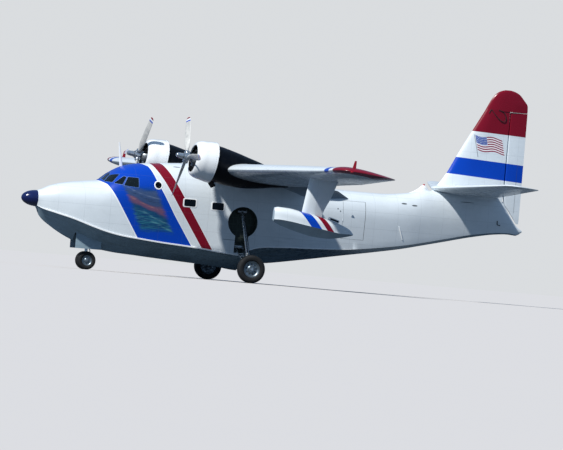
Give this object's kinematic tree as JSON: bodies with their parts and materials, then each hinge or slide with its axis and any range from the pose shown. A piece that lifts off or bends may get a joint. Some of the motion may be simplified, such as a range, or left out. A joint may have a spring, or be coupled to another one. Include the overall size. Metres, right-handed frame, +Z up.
{
  "type": "twin-engined amphibious flying boat",
  "caption": "High-wing amphibious flying boat with a stepped hull, wing floats, radial engines and retractable wheels, standing on its wheels with the gear down.",
  "frame": {"origin": "on the floor under the middle of the aircraft, at the bottom centre of its bounding box", "axes": "+X aft from the nose, +Y to starboard along the span, +Z up"},
  "size_m": [19.2, 29.4606, 7.87],
  "materials": {
    "hull_paint": "gloss",
    "wing_paint": "gloss",
    "black_paint": "satin",
    "cowl_paint": "gloss",
    "radome_gloss": "gloss",
    "clear_glass": "polished",
    "cockpit_trim": "matte",
    "engine_metal": "satin",
    "propeller_metal": "satin",
    "gear_steel": "satin",
    "wheel_metal": "satin",
    "tyre_rubber": "matte"
  },
  "bodies": {
    "airframe": {"hull": "hull_paint", "radome": "radome_gloss", "cockpit_glazing": "clear_glass", "mast_antenna": "wing_paint", "instrument_panel": "cockpit_trim", "control_columns": "cockpit_trim", "seat_port": "cockpit_trim", "seat_starboard": "cockpit_trim", "wing_centre": "wing_paint", "wing_port": "wing_paint", "wing_starboard": "wing_paint", "fin": "wing_paint", "tailplane": "wing_paint", "float_port": "wing_paint", "float_starboard": "wing_paint", "float_pylon_port": "wing_paint", "float_pylon_starboard": "wing_paint", "nacelle_port": "black_paint", "nacelle_starboard": "black_paint", "cowl_port": "cowl_paint", "cowl_starboard": "cowl_paint", "engine_port": "engine_metal", "engine_starboard": "engine_metal", "main_leg_port": "gear_steel", "main_leg_starboard": "gear_steel", "main_brace_port": "gear_steel", "main_brace_starboard": "gear_steel", "nose_leg": "gear_steel", "nose_gear_door_port": "wing_paint", "nose_gear_door_starboard": "wing_paint"},
    "cabin_door": {"cabin_door": "hull_paint"},
    "rudder": {"rudder": "wing_paint"},
    "elevator_port": {"elevator_port": "wing_paint"},
    "elevator_starboard": {"elevator_starboard": "wing_paint"},
    "flap_port": {"flap_port": "wing_paint"},
    "flap_starboard": {"flap_starboard": "wing_paint"},
    "aileron_port": {"aileron_port": "wing_paint"},
    "aileron_starboard": {"aileron_starboard": "wing_paint"},
    "propeller_port": {"propeller_port": "propeller_metal"},
    "propeller_starboard": {"propeller_starboard": "propeller_metal"},
    "main_wheel_port": {"main_wheel_port": "wheel_metal", "main_tyre_port": "tyre_rubber"},
    "main_wheel_starboard": {"main_wheel_starboard": "wheel_metal", "main_tyre_starboard": "tyre_rubber"},
    "nose_steering": {"nose_fork": "gear_steel"},
    "nose_wheels": {"nose_wheels": "wheel_metal", "nose_tyre_port": "tyre_rubber", "nose_tyre_starboard": "tyre_rubber"}
  },
  "joints": [
    {"name": "propeller_port_spin", "type": "hinge", "parent": "airframe", "child": "propeller_port", "pos_m": [-4.43452, -3.14, 4.35354], "axis": [-0.9914, 0, 0.1305], "continuous": true},
    {"name": "propeller_starboard_spin", "type": "hinge", "parent": "airframe", "child": "propeller_starboard", "pos_m": [-4.43452, 3.14, 4.35354], "axis": [-0.9914, 0, 0.1305], "continuous": true},
    {"name": "main_wheel_port_spin", "type": "hinge", "parent": "airframe", "child": "main_wheel_port", "pos_m": [-1.53, -2.69, 0.508], "axis": [0, 1, 0], "continuous": true},
    {"name": "main_wheel_starboard_spin", "type": "hinge", "parent": "airframe", "child": "main_wheel_starboard", "pos_m": [-1.53, 2.69, 0.508], "axis": [0, 1, 0], "continuous": true},
    {"name": "nose_steer", "type": "hinge", "parent": "airframe", "child": "nose_steering", "pos_m": [-7, 0, 0.9], "axis": [0, 0, 1], "range_deg": [-40, 40]},
    {"name": "nose_wheels_spin", "type": "hinge", "parent": "nose_steering", "child": "nose_wheels", "pos_m": [-7, 0, 0.33], "axis": [0, 1, 0], "continuous": true},
    {"name": "rudder_turn", "type": "hinge", "parent": "airframe", "child": "rudder", "pos_m": [8.815, 0, 4.12], "axis": [0.0075, 0, 1], "range_deg": [-25, 25]},
    {"name": "elevator_port_turn", "type": "hinge", "parent": "airframe", "child": "elevator_port", "pos_m": [7.60138, -0.43, 3.98856], "axis": [-0.1151, 0.9911, -0.0675], "range_deg": [-25, 18]},
    {"name": "elevator_starboard_turn", "type": "hinge", "parent": "airframe", "child": "elevator_starboard", "pos_m": [7.60138, 0.43, 3.98856], "axis": [0.1151, 0.9911, 0.0675], "range_deg": [-25, 18]},
    {"name": "aileron_port_turn", "type": "hinge", "parent": "airframe", "child": "aileron_port", "pos_m": [-0.28617, -8.8, 3.91604], "axis": [0.0592, 0.9977, -0.0318], "range_deg": [-18, 18]},
    {"name": "aileron_starboard_turn", "type": "hinge", "parent": "airframe", "child": "aileron_starboard", "pos_m": [-0.28617, 8.8, 3.91604], "axis": [-0.0592, 0.9977, 0.0318], "range_deg": [-18, 18]},
    {"name": "flap_port_turn", "type": "hinge", "parent": "airframe", "child": "flap_port", "pos_m": [-0.12993, -1.5, 3.77597], "axis": [0.0254, 0.9995, -0.0195], "range_deg": [0, 40]},
    {"name": "flap_starboard_turn", "type": "hinge", "parent": "airframe", "child": "flap_starboard", "pos_m": [-0.12993, 1.5, 3.77597], "axis": [-0.0254, 0.9995, 0.0195], "range_deg": [0, 40]},
    {"name": "cabin_door_swing", "type": "hinge", "parent": "airframe", "child": "cabin_door", "pos_m": [2.31, -1.098, 2.6], "axis": [0, 0, -1], "range_deg": [0, 100]}
  ],
  "couplings": [
    {"joint": "elevator_starboard_turn", "follows": "elevator_port_turn", "ratio": 1},
    {"joint": "aileron_starboard_turn", "follows": "aileron_port_turn", "ratio": -1},
    {"joint": "flap_starboard_turn", "follows": "flap_port_turn", "ratio": 1}
  ]
}
